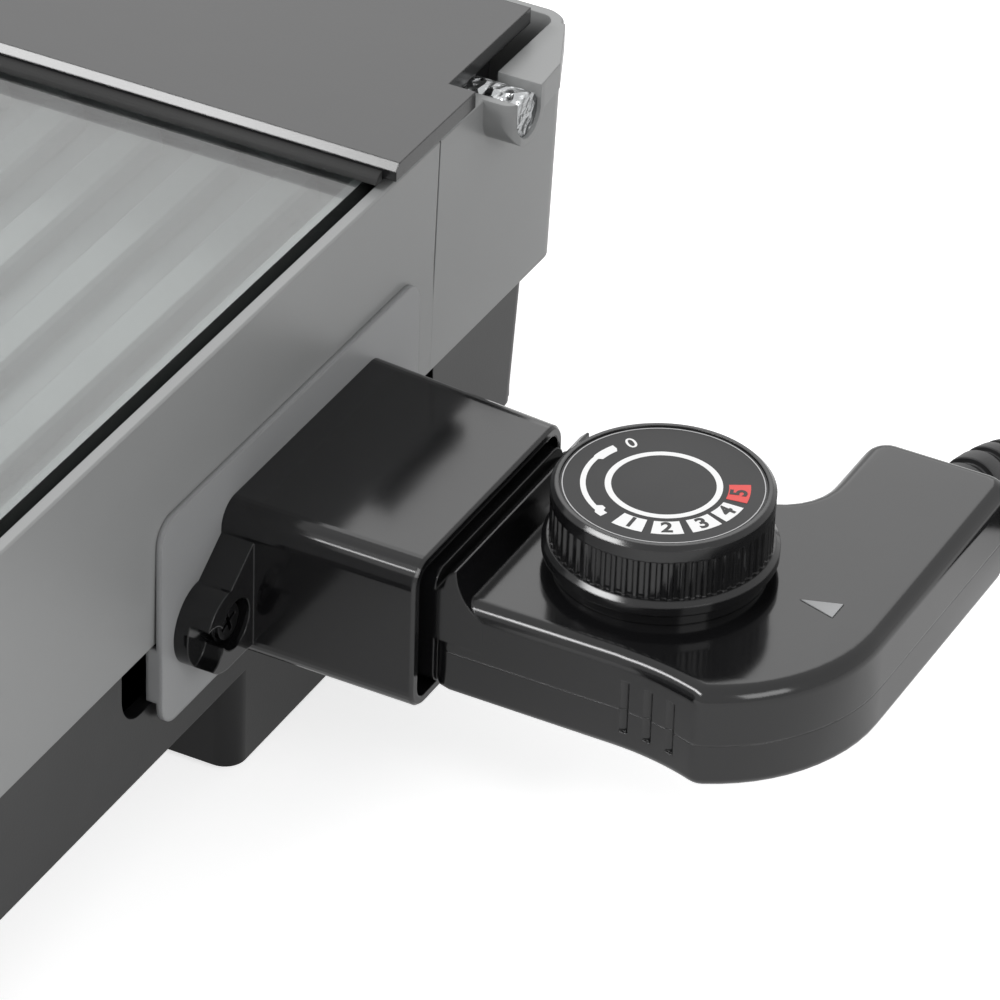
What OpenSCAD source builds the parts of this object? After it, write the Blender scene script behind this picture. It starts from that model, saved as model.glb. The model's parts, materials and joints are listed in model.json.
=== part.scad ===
// Electric indoor grill: a base with a drip tray, a ribbed plate in a painted shell, a glass lid
// on two hinge pins, and a plug-in temperature control with its cord. Millimetres, +Z up.
// The origin is on the table, at the centre of the grill with its control.

/* [Body] */
// Width of the shell over its rim, left to right
body_w = 440; // [420:1:470]
// Depth of the shell over its rim, front to back
body_d = 300; // [292:1:330]
// Height of the shell, from its bottom edge to its rim
shell_h = 54; // [53:0.5:60]
// Thickness of the shell's wall
wall = 2.6; // [2.2:0.1:3]
// Height of the base band under the shell
band_h = 27.5; // [27:0.5:32]
// Height of the feet above their rubber pads
foot_h = 21.5; // [18:0.5:26]
// Thickness of the rubber pads under the feet
pad_h = 1.5; // [1:0.5:3]

/* [Plate] */
// Distance from one rib to the next
rib_pitch = 17.5; // [14:0.5:18]
// Height of the ribs
rib_h = 5; // [3:0.5:6]
// Diameter of the drain hole at the front
drain_d = 14; // [8:1:16]
// Diameter of the heating element's tube
element_d = 8; // [6.5:0.5:8]

/* [Lid] */
// Thickness of the glass
glass_t = 4; // [3:0.5:4]
// Thickness of the black panel over the hinge
panel_t = 3.5; // [3:0.5:4]
// Diameter of the hinge pins
pin_d = 9.2; // [8:0.1:9.2]
// Length of the lid's handle
handle_w = 130; // [110:5:200]

/* [Control] */
// Diameter of the dial
dial_d = 42; // [38:0.5:43]
// Height of the dial above its flange
dial_h = 11.6; // [9:0.1:14]
// Number of flutes round the dial
dial_flutes = 60; // [36:2:72]
// Diameter of the temperature probe
probe_d = 8; // [7:0.5:8]
// Diameter of the cord
cord_d = 7; // [6:0.1:7]

/* [Hidden] */
$fn = 48;
sliver = 0.01;
hair = 0.02;
cut = 1;

// Levels above the table
foot_top = pad_h + foot_h;
band_top = foot_top + band_h;
rim_z = band_top + shell_h;
flange_t = 3;
flange_top = band_top + flange_t;
glass_z = rim_z - 2.7;
glass_top = glass_z + glass_t;
panel_z = glass_top + 0.7;
panel_top = panel_z + panel_t;
plate_z = rim_z - 24.5;
plate_floor = plate_z + 5;
plate_rim = glass_z - 1.3;
axis_z = rim_z - 4.7;
probe_z = band_top + 2.7;

// Shell
shell_draft = 1.2;
edge_round = 0.4;
corner_r = 5.5;
flange_x = body_w / 2 - 13;
flange_y = body_d / 2 - 24;
seam_y = body_d / 2 - 55.5;
seam_gap = 0.5;
seam_depth = 0.8;

// Grill plate
plate_side = body_w / 2 - 3.8;
plate_front = -body_d / 2 + 3.5;
plate_back = body_d / 2 - 52;
plate_border = 5;
rib_foot = 4.6;
rib_pairs = floor((plate_side - plate_border - 2 * rib_foot) / rib_pitch);
boss_x = [body_w / 2 - 62, body_w / 2 - 17];
boss_r = 7.5;

// Hinge
axis_y = body_d / 2 - 31.9;
pin_r = pin_d / 2;
run_gap = 0.05;
trough_r = 6.2;
trough_x = body_w / 2 + 7;
pin_x0 = body_w / 2 - 17;
lug_x0 = body_w / 2 - 14;
lug_t = 8;
lug_r = 7.5;

// Base
base_x = body_w / 2 - 1.7;
base_y = body_d / 2 - 12.7;
base_lean = 3.5;
base_wall = 3;
band_inner_y = base_y - base_lean - base_wall;
foot_w = 40;
foot_r = 4.5;
rear_foot_y = [body_d / 2 - 131.5, body_d / 2 - 65.5];
front_foot_y = [-body_d / 2 + 20, -body_d / 2 + 72];
ledge_t = 2.5;
ledge_z = foot_top + ledge_t;
tray_x = body_w / 2 - 32;
tray_front = -base_y - 1;
tray_back = base_y - 19;
notch_y = [-23.4, 97];
notch_z = foot_top + 14.5;
notch_r = 7;

// Socket on the right wall
socket_y = 40;
pin_spread = 13;
terminal_r = 3;
plate_x = body_w / 2 - 0.55;
plate_t = 1.2;
plate_y = [-12.8, 86.3];
plate_zs = [band_top - 18.5, band_top + 27.4];
shroud_x = plate_x + plate_t;
shroud_end = body_w / 2 + 41.5;
shroud_y = [9, 71.5];
shroud_far_end = 68;
shroud_z = [band_top - 13.8, band_top + 19.2];
shroud_t = 2;
ear_t = 7;
ear_reach = 17.5;
ear_screw_y = [2.5, 78];
ear_screw_z = band_top - 0.9;

// Control, measured from the middle of its dial
dial_x = body_w / 2 + 74;
dial_y = 45;
house_z = band_top - 10.4;
house_top = band_top + 11;
house_seam = band_top - 0.9;
house_round = 3.2;
near_side = -30.5;
far_side = 28.8;
grip_x = 46.3;
grip_end = 59.5;
plug_x = body_w / 2 + 8;
plug_y = [14.5, 65.5];
plug_top = band_top + 15.5;
collar_x = body_w / 2 + 42;
collar_top = band_top + 17.5;
cavity_x = [dial_x - 20, dial_x + 12];
cavity_y = [dial_y - 20, dial_y + 18];
cavity_z = [house_z + 3, house_top - 3];
skirt_h = 2.5;
dial_flange_h = 3.2;
dial_flange_d = dial_d + 2.5;
dial_gap = 0.2;
dial_z = house_top + skirt_h + dial_gap;
knob_z = dial_z + dial_flange_h;
knob_top = knob_z + dial_h;
smooth_h = 3.4;
label_d = dial_d - 3.3;
label_t = 0.4;
shaft_r = 3;

// Cord: its route in a straight line seen from above, as [along the side, height]
cord_r = cord_d / 2;
cord_x = body_w / 2 + 107;
relief_y = dial_y + grip_end;
relief_z = band_top;
relief_end = [134, 44];
cord_route = [[134, 44], [141, 41], [150, 36], [160, 28], [170, 19], [180, 11], [189, 6.4], [198, 4.7],
              [207, 4.6], [215, 4.6]];
tail_route = [[215, 12.2], [222, 12.3], [232, 13.8], [242, 16.2], [252, 18.2], [260, 18.6], [270, 18.6]];
coil_y = 215;
coil_out = 51.5;
coil_step = 7.6;
coil_turns = 5;
coil_z = 4.6;
coil_rise = 7.6;
coil_sides = 6;
coil_rings = 24;
plug_axis_z = 18.6;
plug_back = 270;

// The grill's box is centred on the origin together with its control
body_x = -(dial_x + grip_x - trough_x) / 2;

// Helpers

module at_body() {
  translate([body_x, 0, 0]) children();
}

module mirrored_x(side) {
  mirror([side < 0 ? 1 : 0, 0, 0]) children();
}

module mirrored_y(side) {
  mirror([0, side < 0 ? 1 : 0, 0]) children();
}

module block(x, y, z) {
  translate([x[0], y[0], z[0]]) cube([x[1] - x[0], y[1] - y[0], z[1] - z[0]]);
}

// A flat outline drawn as (Y, Z), given thickness along X
module along_x(x) {
  translate([x[0], 0, 0]) rotate([90, 0, 90]) linear_extrude(x[1] - x[0]) children();
}

// A flat outline drawn as (X, Z), given thickness along Y
module along_y(y) {
  translate([0, y[1], 0]) rotate([90, 0, 0]) linear_extrude(y[1] - y[0]) children();
}

module rod_x(x, y, z, r) {
  translate([x[0], y, z]) rotate([0, 90, 0]) cylinder(h = x[1] - x[0], r = r);
}

module rod_z(x, y, z, r) {
  translate([x, y, z[0]]) cylinder(h = z[1] - z[0], r = r);
}

module rounded_rect(x, y, r) {
  translate([x[0] + r, y[0]]) square([x[1] - x[0] - 2 * r, y[1] - y[0]]);
  translate([x[0], y[0] + r]) square([x[1] - x[0], y[1] - y[0] - 2 * r]);
  for (px = [x[0] + r, x[1] - r], py = [y[0] + r, y[1] - r]) translate([px, py]) circle(r);
}

module rounded_block(x, y, z, r) {
  translate([0, 0, z[0]]) linear_extrude(z[1] - z[0]) rounded_rect(x, y, r);
}

function arc(c, r, a0, a1, n) =
  [for (i = [0 : n]) c + r * [cos(a0 + (a1 - a0) * i / n), sin(a0 + (a1 - a0) * i / n)]];

// Shell: two halves that meet at a seam

function shell_x(z) = body_w / 2 - shell_draft * (rim_z - z) / shell_h;
function shell_y(z) = body_d / 2 - shell_draft * (rim_z - z) / shell_h;

module shell_slice(z, inset) {
  px = shell_x(z) - inset;
  py = shell_y(z) - inset;
  translate([0, 0, z]) linear_extrude(sliver)
    rounded_rect([-px, px], [-py, py], max(corner_r - inset, 1.5), $fn = 32);
}

module shell_outside() {
  hull() {
    shell_slice(band_top, edge_round);
    shell_slice(band_top + edge_round, 0);
    shell_slice(rim_z - edge_round, 0);
    shell_slice(rim_z - sliver, edge_round);
  }
}

module shell_walls() {
  difference() {
    shell_outside();
    hull() {
      shell_slice(flange_top, wall);
      shell_slice(rim_z + cut, wall);
    }
    block([-flange_x, flange_x], [-flange_y, flange_y], [band_top - cut, flange_top + cut]);
  }
}

post_x = flange_x + 4.5;
post_y = [-body_d / 2 + 50, body_d / 2 - 65];
post_r = 4;
screw_r = 1.5;
screw_head = [3.3, 1.8];

module post_holes() {
  for (x = [-post_x, post_x], y = post_y) {
    rod_z(x, y, [band_top - cut, flange_top + cut], screw_r + 0.1);
    rod_z(x, y, [band_top - cut, band_top + screw_head[1] + 0.1], screw_head[0] + 0.1);
  }
}

module shell_front() {
  color("#7a7b7d") at_body() difference() {
    shell_walls();
    block([-body_w, body_w], [seam_y, body_d], [0, rim_z + cut]);
    post_holes();
    for (side = [-1, 1]) mirrored_x(side)
      block([body_w / 2 - seam_depth, body_w / 2 + cut], [seam_y - seam_gap, seam_y + cut],
            [0, rim_z + cut]);
    block([flange_x - cut, body_w / 2 + cut], [shroud_y[0] - 1, shroud_y[1] + 1],
          [band_top - cut, shroud_z[1] + 2]);
    for (y = ear_screw_y) rod_x([body_w / 2 - 6, body_w / 2 + cut], y, ear_screw_z, 2.3);
  }
}

fairing_y = [axis_y + trough_r - 0.2, body_d / 2 - 4];

// The open-topped trough that each hinge pin lies in, and the fairing behind it
module hinge_trough() {
  intersection() {
    along_x([shell_x(axis_z - trough_r) - wall / 2, trough_x]) {
      translate([axis_y, axis_z]) circle(trough_r);
      translate([axis_y - trough_r, axis_z]) square([2 * trough_r, rim_z - axis_z]);
    }
    rounded_block([body_w / 2 - 20, trough_x], [axis_y - trough_r, axis_y + 4 * trough_r],
                  [axis_z - 2 * trough_r, rim_z], 3);
  }
  hull() {
    translate([0, 0, rim_z - 5.8]) linear_extrude(5.8)
      polygon([[body_w / 2 - wall, fairing_y[0]], [trough_x, fairing_y[0]],
               [trough_x - 0.6, fairing_y[0] + 8],
               [body_w / 2 + 0.2, fairing_y[1]], [body_w / 2 - wall, fairing_y[1]]]);
    translate([0, 0, rim_z - 15]) linear_extrude(sliver)
      polygon([[body_w / 2 - wall, fairing_y[0]], [body_w / 2 + 0.2, fairing_y[0]],
               [body_w / 2 - wall, fairing_y[1]]]);
  }
}

module trough_bore() {
  rod_x([pin_x0 - 4, trough_x + cut], axis_y, axis_z, pin_r + run_gap);
  block([pin_x0 - 4, trough_x + cut], [axis_y - pin_r - run_gap, axis_y + pin_r + run_gap],
        [axis_z, rim_z + cut]);
}

module shell_rear() {
  color("#858688") at_body() difference() {
    union() {
      difference() {
        shell_walls();
        block([-body_w, body_w], [-body_d, seam_y], [0, rim_z + cut]);
      }
      for (side = [-1, 1]) mirrored_x(side) hinge_trough();
    }
    for (side = [-1, 1]) mirrored_x(side) trough_bore();
  }
}

// The black channel that the rear of the lid dips into when it opens
channel_y = plate_back + 0.6;
channel_t = 1.6;
channel_floor = axis_z - 29.5;

module rear_channel() {
  half = shell_x(flange_top) - wall - 1.6;
  color("#161617") at_body() {
    block([-half, half], [channel_y, channel_y + channel_t], [flange_top, plate_rim - 0.5]);
    block([-half, half], [channel_y, shell_y(channel_floor) - wall - 0.3],
          [channel_floor, channel_floor + channel_t]);
  }
}

// Base

module base_frame() {
  color("#2c2c2e") at_body() difference() {
    union() {
      difference() {
        hull() {
          rounded_block([-base_x, base_x], [-base_y + base_lean, base_y - base_lean],
                        [foot_top, foot_top + sliver], foot_r, $fn = 32);
          rounded_block([-base_x, base_x], [-base_y, base_y],
                        [band_top - sliver, band_top], foot_r, $fn = 32);
        }
        block([-base_x + base_wall, base_x - base_wall],
              [-band_inner_y, band_inner_y], [foot_top - cut, band_top + cut]);
      }
      for (side = [-1, 1]) mirrored_x(side) {
        block([tray_x - 8, base_x - 1], [-band_inner_y - 2, band_inner_y + 2], [foot_top, ledge_z]);
        block([tray_x + 2.5, tray_x + 4.5], [-band_inner_y - 2, band_inner_y + 2],
              [foot_top, probe_z - boss_r - 0.5]);
        block([flange_x - 1, base_x - 1], [-base_y + 8, base_y - 8], [band_top - flange_t, band_top]);
        for (y = [front_foot_y, rear_foot_y])
          rounded_block([base_x - foot_w, base_x], y, [pad_h, foot_top + 1], foot_r);
      }
      for (side = [-1, 1]) mirrored_y(side) {
        block([-base_x + 1, base_x - 1], [flange_y - 1, base_y - 2], [band_top - flange_t, band_top]);
        block([-60, 60], [flange_y - 3.4, flange_y - 1], [band_top - flange_t, flange_top - 0.5]);
      }
      block([-base_x + 1, base_x - 1], [tray_back + 2, band_inner_y + 2], [foot_top, ledge_z]);
    }
    block([-tray_x - 7, tray_x + 7], [-base_y - cut, -band_inner_y + cut],
          [ledge_z, band_top - flange_t]);
    along_x([flange_x - 4, base_x + cut])
      rounded_rect(notch_y, [notch_z, band_top + 3 * notch_r], notch_r);
  }
}

foot_places = [[-1, front_foot_y], [1, front_foot_y], [-1, rear_foot_y], [1, rear_foot_y]];

module foot_pad(i) {
  side = foot_places[i - 1][0];
  y = foot_places[i - 1][1];
  color("#1b1b1b") at_body() mirrored_x(side)
    rounded_block([base_x - foot_w + 5, base_x - 5], [y[0] + 5, y[1] - 5], [0, pad_h], 3);
}

tray_t = 1.2;
tray_top = ledge_z + 18.5;

module drip_tray() {
  color("#a9abad") at_body() {
    difference() {
      block([-tray_x, tray_x], [tray_front, tray_back], [ledge_z, tray_top]);
      block([-tray_x + tray_t, tray_x - tray_t], [tray_front + 3, tray_back - tray_t],
            [ledge_z + tray_t, tray_top + cut]);
    }
    block([-tray_x - 6, tray_x + 6], [tray_front, tray_front + 2],
          [ledge_z + 0.3, band_top - flange_t - 0.5]);
    rounded_block([-55, 55], [-body_d / 2 + 0.5, tray_front + 1], [ledge_z + 6, ledge_z + 9], 4);
  }
}

// Grill plate, cast in one piece with its posts and the pocket for the probe

module rib(x) {
  along_y([plate_front + 15, plate_back - 10]) translate([x, plate_floor - sliver])
    polygon([[-rib_foot, 0], [rib_foot, 0], [4, rib_h - 1], [3.2, rib_h], [-3.2, rib_h], [-4, rib_h - 1]]);
}

module grill_plate() {
  color("#b4b5b6") at_body() difference() {
    union() {
      difference() {
        rounded_block([-plate_side, plate_side], [plate_front, plate_back], [plate_z, plate_rim], 4);
        rounded_block([-plate_side + plate_border, plate_side - plate_border],
                      [plate_front + plate_border, plate_back - plate_border],
                      [plate_floor, plate_rim + cut], 6);
      }
      for (k = [-rib_pairs : rib_pairs]) rib(k * rib_pitch);
      for (x = [-post_x, post_x], y = post_y) rod_z(x, y, [flange_top, plate_z + 1], post_r);
      rod_z(0, plate_front + 10, [plate_z - 8, plate_z + 1], drain_d / 2 + 2);
      block(boss_x, [socket_y - boss_r, socket_y + boss_r], [probe_z, plate_z + 1]);
      rod_x(boss_x, socket_y, probe_z, boss_r);
    }
    rod_z(0, plate_front + 10, [plate_z - 9, plate_floor + cut], drain_d / 2);
    rod_x([boss_x[0] + 1, boss_x[1] + cut], socket_y, probe_z, probe_d / 2 + run_gap);
    for (x = [-post_x, post_x], y = post_y) rod_z(x, y, [flange_top - cut, flange_top + 12], screw_r);
  }
}

module plate_screws() {
  color("#8d8f91") at_body() for (x = [-post_x, post_x], y = post_y) {
    rod_z(x, y, [band_top, band_top + screw_head[1]], screw_head[0]);
    rod_z(x, y, [band_top + 1, flange_top + 10], screw_r);
  }
}

// Heating element: one tube bent in five bays, laid on two cranked bars
bend_r = 15;
element_y = [-body_d / 2 + 45, -35, 15, body_d / 2 - 65];
leg_x = body_w / 2 - 70;
inner_x = body_w / 2 - 105;
left_x = -body_w / 2 + 45;
terminal_x = body_w / 2 - 17;
element_path = [[terminal_x, socket_y - pin_spread], [leg_x, socket_y - pin_spread], [leg_x, element_y[0]],
                [left_x, element_y[0]], [left_x, element_y[1]], [inner_x, element_y[1]],
                [inner_x, element_y[2]], [left_x, element_y[2]], [left_x, element_y[3]],
                [leg_x, element_y[3]], [leg_x, socket_y + pin_spread], [terminal_x, socket_y + pin_spread]];

function unit(v) = v / norm(v);
function heading(v) = atan2(v[1], v[0]);

module bent_tube(path, r) {
  last = len(path) - 1;
  for (i = [0 : last - 1]) {
    run = path[i + 1] - path[i];
    trim_a = i == 0 ? 0 : bend_r;
    trim_b = i == last - 1 ? 0 : bend_r;
    translate(concat(path[i] + trim_a * unit(run), [0])) rotate([0, 90, heading(run)])
      cylinder(h = norm(run) - trim_a - trim_b, r = r);
  }
  for (i = [1 : last - 1]) {
    come = unit(path[i] - path[i - 1]);
    leave = unit(path[i + 1] - path[i]);
    middle = path[i] + bend_r * (leave - come);
    turn = come[0] * leave[1] - come[1] * leave[0];
    translate(concat(middle, [0])) rotate([0, 0, turn > 0 ? heading(-leave) : heading(come)])
      rotate_extrude(angle = 90) translate([bend_r, 0]) circle(r);
  }
}

module heating_element() {
  color("#5b5c5e") at_body() translate([0, 0, probe_z]) bent_tube(element_path, element_d / 2);
}

bar_x = [left_x + 80, inner_x - 25];
bar_w = 12;
bar_t = 1.5;
bar_z = probe_z - element_d / 2 - bar_t;

module element_bar(x) {
  reach = flange_y + 6;
  drop = flange_y - 6;
  color("#9a9c9e") at_body() translate([x, 0, 0]) {
    block([-bar_w / 2, bar_w / 2], [-drop, drop], [bar_z, bar_z + bar_t]);
    for (side = [-1, 1]) mirrored_y(side) {
      block([-bar_w / 2, bar_w / 2], [drop - bar_t, drop], [bar_z, flange_top + bar_t]);
      block([-bar_w / 2, bar_w / 2], [drop - bar_t, reach], [flange_top, flange_top + bar_t]);
    }
  }
}

// Strap clips over the tube, one on each crossing of a tube run and a bar
module element_clips() {
  r = element_d / 2 + hair;
  t = 1;
  low = bar_z + bar_t;
  color("#b9bbbd") at_body() for (x = bar_x, y = element_y) along_x([x - 3, x + 3]) difference() {
    union() {
      translate([y, probe_z]) circle(r + t);
      translate([y - r - t, low]) square([2 * (r + t), probe_z - low]);
      translate([y - r - 4 * t, low]) square([2 * (r + 4 * t), t]);
    }
    translate([y, probe_z]) circle(r);
    translate([y - r, low - 2 * t]) square([2 * r, probe_z - low + 2 * t]);
  }
}

// Socket in the right wall
block_x = [body_w / 2 - 15, plate_x];
block_y = [socket_y - 26, socket_y + 26];
block_z = [probe_z - 12, probe_z + 13];

module earth_hole(x, grow) {
  block(x, [socket_y - 4 - grow, socket_y + 4 + grow], [block_z[0] + 2 - grow, block_z[0] + 3.2 + grow]);
}

module terminal_block() {
  color("#d8d3c6") at_body() difference() {
    rounded_block([block_x[0], block_x[1]], block_y, block_z, 2);
    rod_x([block_x[0] - cut, block_x[1] + cut], socket_y, probe_z, probe_d / 2 + 0.6);
    for (side = [-1, 1])
      rod_x([block_x[0] - cut, block_x[1] + cut], socket_y + side * pin_spread, probe_z, terminal_r + 0.02);
    earth_hole([block_x[0] - cut, block_x[1] + cut], 0.1);
  }
}

terminal_end = body_w / 2 + 31;

module terminal_pins() {
  color("#c9cacc") at_body() for (side = [-1, 1])
    rod_x([terminal_x, terminal_end], socket_y + side * pin_spread, probe_z, terminal_r);
}

module earth_blade() {
  color("#c2a45a") at_body() earth_hole([block_x[0] + 2, terminal_end - 10], 0);
}

module socket_plate() {
  rim = 5;
  color("#808183") at_body() difference() {
    union() {
      along_x([plate_x, plate_x + plate_t]) rounded_rect(plate_y, plate_zs, rim);
      for (y = [[plate_y[0], plate_y[0] + plate_t], [plate_y[1] - plate_t, plate_y[1]]])
        block([plate_x - 2.2, plate_x + 0.2], y, [notch_z + 0.4, band_top - 0.6]);
    }
    for (side = [-1, 1])
      rod_x([plate_x - cut, shroud_x + cut], socket_y + side * pin_spread, probe_z, terminal_r + 0.8);
    rod_x([plate_x - cut, shroud_x + cut], socket_y, probe_z, probe_d / 2 + 1);
    earth_hole([plate_x - cut, shroud_x + cut], 0.5);
    for (y = ear_screw_y) rod_x([plate_x - cut, shroud_x + cut], y, ear_screw_z, 2.02);
  }
}

module shroud_slice(x, inset) {
  far = shroud_y[1] + (shroud_far_end - shroud_y[1]) * (x - shroud_x) / (shroud_end - shroud_x);
  along_x([x, x + sliver])
    rounded_rect([shroud_y[0] + inset, far - inset], [shroud_z[0] + inset, shroud_z[1] - inset],
                 5 - inset, $fn = 32);
}

// An ear of the shroud in its own (Y, Z) outline: rounded tip, sloped shoulder up to the shroud's side
module ear_outline() {
  difference() {
    union() {
      translate([ear_reach - 8.5, 0]) circle(8.5);
      translate([-1, -8.5]) square([ear_reach - 7.5, 17]);
      polygon([[-1, 8], [ear_reach - 8.5, 8], [-1, 15]]);
    }
    translate([6.5, 0]) circle(2.02);
  }
}

module shroud_ear(y, side, reach) {
  translate([0, y, ear_screw_z]) mirrored_y(side) intersection() {
    difference() {
      along_x([shroud_x, shroud_x + ear_t]) ear_outline();
      rod_x([shroud_x + 3, shroud_x + ear_t + cut], 6.5, 0, 5.2);
      rod_x([shroud_x + 3, shroud_x + ear_t + cut], 15.5, -1, 5);
    }
    block([shroud_x - cut, shroud_x + ear_t + cut], [-2, reach], [-20, 20]);
  }
}

module socket_shroud() {
  color("#131314") at_body() {
    difference() {
      hull() {
        shroud_slice(shroud_x, 0);
        shroud_slice(shroud_end - 0.6, 0);
        shroud_slice(shroud_end - sliver, 0.5);
      }
      hull() {
        shroud_slice(shroud_x - cut, shroud_t);
        shroud_slice(shroud_end + cut, shroud_t);
      }
    }
    shroud_ear(shroud_y[0], -1, ear_reach);
    shroud_ear(shroud_y[1], 1, 10.5);
  }
}

module shroud_screws() {
  head_x = shroud_x + 3;
  color("#3a3a3c") at_body() for (y = ear_screw_y) difference() {
    union() {
      rod_x([plate_x - 4, head_x + 1], y, ear_screw_z, 2);
      rod_x([head_x, head_x + 1.4], y, ear_screw_z, 4.3);
      rod_x([head_x + 1.3, head_x + 2.4], y, ear_screw_z, 3.7);
    }
    for (turn = [0, 90]) translate([head_x + 1.2, y, ear_screw_z]) rotate([turn + 20, 0, 0])
      block([0, 3], [-2.6, 2.6], [-0.5, 0.5]);
  }
}

// Lid

module hinge_pin(side) {
  color("#cfd0d2") at_body() mirrored_x(side) rod_x([pin_x0, trough_x - 0.8], axis_y, axis_z, pin_r);
}

panel_y = [body_d / 2 - 76.5, body_d / 2 - 44.5, body_d / 2 - 10.3];
panel_x = [body_w / 2 + 1.5, body_w / 2 - 4.4];
panel_bevel = 1.4;
clamp_x = [-150, 0, 150];
clamp_y = panel_y[0] + 14.5;

module lid_panel() {
  color("#1a1a1b") at_body() difference() {
    union() {
      along_x([-panel_x[0], panel_x[0]])
        polygon([[panel_y[0], panel_z], [panel_y[1], panel_z], [panel_y[1], panel_top],
                 [panel_y[0] + panel_bevel, panel_top], [panel_y[0], panel_top - panel_bevel]]);
      block([-panel_x[1], panel_x[1]], [panel_y[1] - 2, panel_y[2]], [panel_z, panel_top]);
      for (side = [-1, 1]) mirrored_x(side) {
        rod_x([lug_x0, lug_x0 + lug_t], axis_y, axis_z, lug_r);
        block([lug_x0, lug_x0 + lug_t], [axis_y - lug_r, axis_y + lug_r], [axis_z, panel_z + 1]);
      }
    }
    for (side = [-1, 1]) mirrored_x(side)
      rod_x([lug_x0 - cut, lug_x0 + lug_t + cut], axis_y, axis_z, pin_r + run_gap);
    for (x = clamp_x) rod_z(x, clamp_y, [panel_z - cut, panel_top - 1.2], 2.02);
  }
}

glass_x = body_w / 2 - 4.5;
glass_y = [-body_d / 2 + 4.5, body_d / 2 - 54];
handle_y = -body_d / 2 + 32;
handle_h = 17;
handle_screw_x = handle_w / 2 - 12;

module lid_glass() {
  color("#8fa3a6", 0.4) at_body() difference() {
    rounded_block([-glass_x, glass_x], glass_y, [glass_z, glass_top], 6);
    for (x = clamp_x) rod_z(x, clamp_y, [glass_z - cut, glass_top + cut], 2.5);
    for (x = [-handle_screw_x, handle_screw_x]) rod_z(x, handle_y, [glass_z - cut, glass_top + cut], 2.5);
  }
}

module glass_seal() {
  color("#0f0f10") at_body() difference() {
    union() {
      block([-glass_x + 3, glass_x - 3], [panel_y[0] - 0.2, glass_y[1]], [glass_top, panel_z]);
      along_x([-glass_x - 3, glass_x + 3])
        polygon(concat([[panel_y[0], glass_top], [panel_y[0], glass_top + 2.2]],
                       arc([panel_y[0], glass_top], 2.2, 90, 180, 6)));
    }
    for (x = clamp_x) rod_z(x, clamp_y, [glass_top - cut, panel_z + cut], 2.02);
  }
}

clamp_t = 2;

module clamp_bar() {
  color("#6f7173") at_body() difference() {
    block([-glass_x + 12, glass_x - 12], [clamp_y - 8, clamp_y + 3.5], [glass_z - clamp_t, glass_z]);
    for (x = clamp_x) rod_z(x, clamp_y, [glass_z - clamp_t - cut, glass_z + cut], 2.1);
  }
}

module clamp_screws() {
  low = glass_z - clamp_t;
  color("#b0b2b4") at_body() for (x = clamp_x) {
    rod_z(x, clamp_y, [low - 2, low], 3.4);
    rod_z(x, clamp_y, [low - 1, panel_top - 1.6], 2);
  }
}

module lid_handle() {
  low = glass_top + handle_h;
  color("#1b1b1c") at_body() difference() {
    union() {
      hull() for (x = [-handle_w / 2 + 9, handle_w / 2 - 9])
        translate([x, handle_y, low + 5]) scale([9, 9, 5]) sphere(1, $fn = 32);
    }
    for (x = [-handle_screw_x, handle_screw_x]) {
      rod_z(x, handle_y, [low - cut, low + 7], 1.8);
      translate([x, handle_y, low - cut]) cylinder(h = cut + 1.2, r = 5.55);
    }
  }
}

module handle_spacers() {
  color("#c4c6c8") at_body() for (x = [-handle_screw_x, handle_screw_x]) difference() {
    rod_z(x, handle_y, [glass_top, glass_top + handle_h + 1.2], 5.5);
    rod_z(x, handle_y, [glass_top - cut, glass_top + handle_h + 2], 1.9);
  }
}

module handle_screws() {
  color("#b0b2b4") at_body() for (x = [-handle_screw_x, handle_screw_x]) {
    rod_z(x, handle_y, [glass_z - 1.8, glass_z], 4.2);
    rod_z(x, handle_y, [glass_z - 1, glass_top + handle_h + 6], 1.78);
  }
}

module lid_bumpers() {
  color("#26262a") at_body() for (x = [-plate_side + 25, plate_side - 25])
    rod_z(x, plate_front + 3.6, [plate_rim, glass_z], 1.9);
}

// Control housing, an outline of lines and tangent arcs round the dial

flare_x = 6;
flare_r = 53.3;
nose = [9.8, -0.5];
nose_r = grip_x - nose[0];
nose_edge_r = 4.2;
flare_c = [flare_x, near_side - flare_r];
neck = [16.4, 40.8];
neck_r = neck[1] - far_side;

// Middle of the small arc that touches the flare from inside and the nose from inside
gap_c = norm(nose - flare_c);
reach_c = (pow(flare_r + nose_edge_r, 2) - pow(nose_r - nose_edge_r, 2) + pow(gap_c, 2)) / (2 * gap_c);
side_c = sqrt(pow(flare_r + nose_edge_r, 2) - pow(reach_c, 2));
along_c = (nose - flare_c) / gap_c;
edge_c = flare_c + reach_c * along_c + side_c * [along_c[1], -along_c[0]];

function house_outline(d) = concat(
  arc([-28, near_side + 4], 4 - d, 180, 270, 3),
  arc(flare_c, flare_r + d, 90, heading(edge_c - flare_c), 9),
  arc(edge_c, nose_edge_r - d, heading(flare_c - edge_c), heading(edge_c - nose), 3),
  arc(nose, nose_r - d, heading(edge_c - nose), 0, 12),
  arc([grip_x - 5, grip_end - 5], 5 - d, 0, 90, 5),
  arc([neck[0] + 5, grip_end - 5], 5 - d, 90, 180, 5),
  arc([neck[0] - neck_r, neck[1]], neck_r + d, 0, -90, 8),
  arc([-28, far_side - 4], 4 - d, 90, 180, 3));

// A solid through the outline at several levels, each level given as [height, inset]
// Its ends are triangles round a hub that sees the whole outline, so the hollow sides stay open.
function house_hub() = [neck[0] + 6, 0];

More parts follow.
